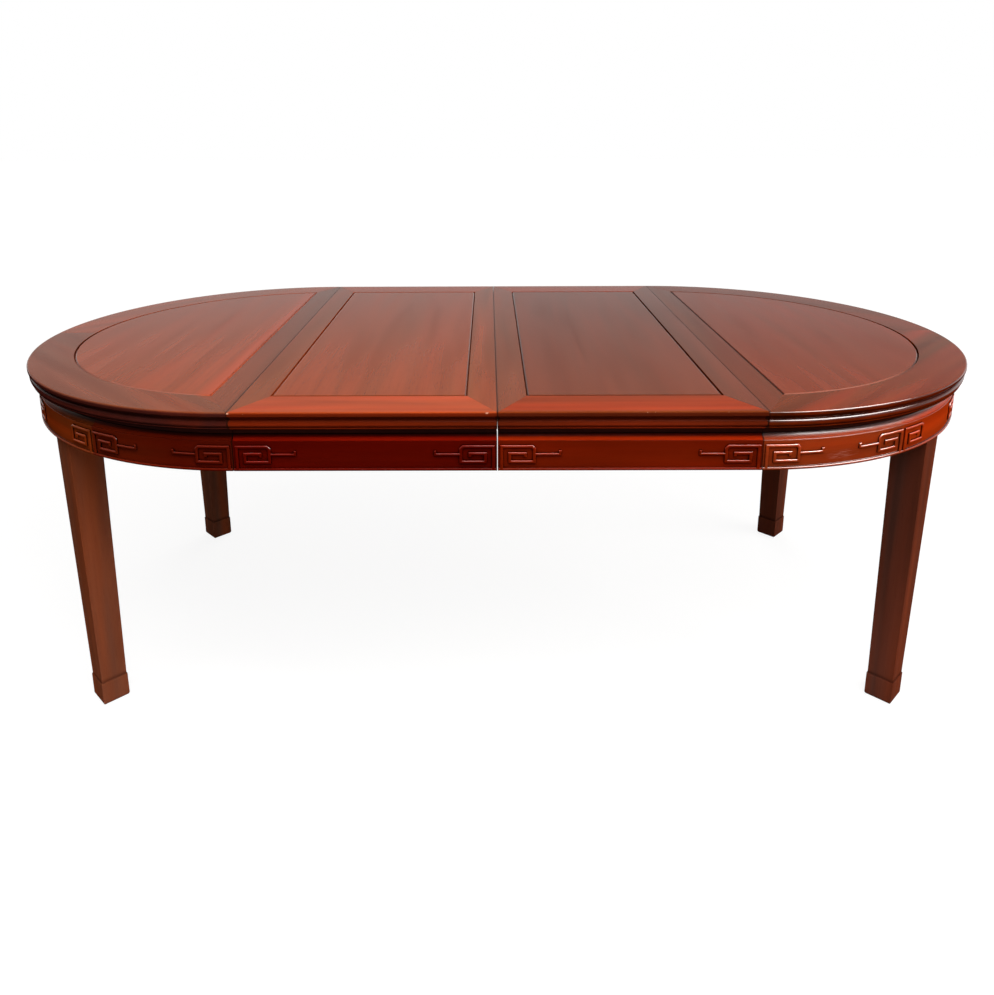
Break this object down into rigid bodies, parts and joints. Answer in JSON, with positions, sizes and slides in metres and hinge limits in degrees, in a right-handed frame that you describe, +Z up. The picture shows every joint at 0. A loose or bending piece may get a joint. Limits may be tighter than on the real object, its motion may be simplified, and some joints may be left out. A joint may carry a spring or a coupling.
{
  "type": "extending dining table",
  "caption": "Extending dining table with half-round ends on wooden runners, loose leaves between them, panelled tops, fret-carved aprons and square tapered legs.",
  "frame": {"origin": "on the floor under the middle of the top, with the table open and both leaves in", "axes": "+X along the table's length to the right, +Y across it from front to back, +Z up"},
  "size_m": [2.21, 1.22, 0.762],
  "materials": {
    "top_frame": "gloss lacquer",
    "top_panel": "gloss lacquer",
    "apron": "gloss lacquer",
    "waist": "lacquer",
    "leg": "gloss lacquer",
    "slide_wood": "plain, waxed",
    "steel": "zinc plated"
  },
  "bodies": {
    "centre": {"middle_runner_back": "slide_wood", "middle_runner_front": "slide_wood", "runner_ties": "slide_wood", "tie_screws": "steel"},
    "right_end": {"right_apron_back": "apron", "right_apron_back_corner": "apron", "right_apron_end": "apron", "right_apron_front": "apron", "right_apron_front_corner": "apron", "right_corner_block_back": "slide_wood", "right_corner_block_front": "slide_wood", "right_cross_rail": "top_frame", "right_end_batten": "slide_wood", "right_end_panel": "top_panel", "right_leg_back": "leg", "right_leg_bolts": "steel", "right_leg_front": "leg", "right_rim_back": "top_frame", "right_rim_front": "top_frame", "right_runner_back": "slide_wood", "right_runner_front": "slide_wood", "right_runner_screws": "steel", "right_waist": "waist"},
    "left_end": {"left_apron_back": "apron", "left_apron_back_corner": "apron", "left_apron_end": "apron", "left_apron_front": "apron", "left_apron_front_corner": "apron", "left_corner_block_back": "slide_wood", "left_corner_block_front": "slide_wood", "left_cross_rail": "top_frame", "left_end_batten": "slide_wood", "left_end_panel": "top_panel", "left_leg_back": "leg", "left_leg_bolts": "steel", "left_leg_front": "leg", "left_rim_back": "top_frame", "left_rim_front": "top_frame", "left_runner_back": "slide_wood", "left_runner_front": "slide_wood", "left_runner_screws": "steel", "left_waist": "waist"},
    "right_leaf": {"right_leaf_apron_back": "apron", "right_leaf_apron_front": "apron", "right_leaf_back_rail": "top_frame", "right_leaf_battens": "slide_wood", "right_leaf_front_rail": "top_frame", "right_leaf_inner_rail": "top_frame", "right_leaf_outer_rail": "top_frame", "right_leaf_panel": "top_panel", "right_leaf_waist": "waist"},
    "left_leaf": {"left_leaf_apron_back": "apron", "left_leaf_apron_front": "apron", "left_leaf_back_rail": "top_frame", "left_leaf_battens": "slide_wood", "left_leaf_front_rail": "top_frame", "left_leaf_inner_rail": "top_frame", "left_leaf_outer_rail": "top_frame", "left_leaf_panel": "top_panel", "left_leaf_waist": "waist"}
  },
  "joints": [
    {"name": "right_end_slide", "type": "slide", "parent": "centre", "child": "right_end", "axis": [1, 0, 0], "range_m": [0, 0.06]},
    {"name": "left_end_slide", "type": "slide", "parent": "centre", "child": "left_end", "axis": [-1, 0, 0], "range_m": [0, 0.06]},
    {"name": "right_leaf_lift", "type": "slide", "parent": "centre", "child": "right_leaf", "axis": [0, 0, 1], "range_m": [0, 0.3]},
    {"name": "left_leaf_lift", "type": "slide", "parent": "centre", "child": "left_leaf", "axis": [0, 0, 1], "range_m": [0, 0.3]}
  ]
}
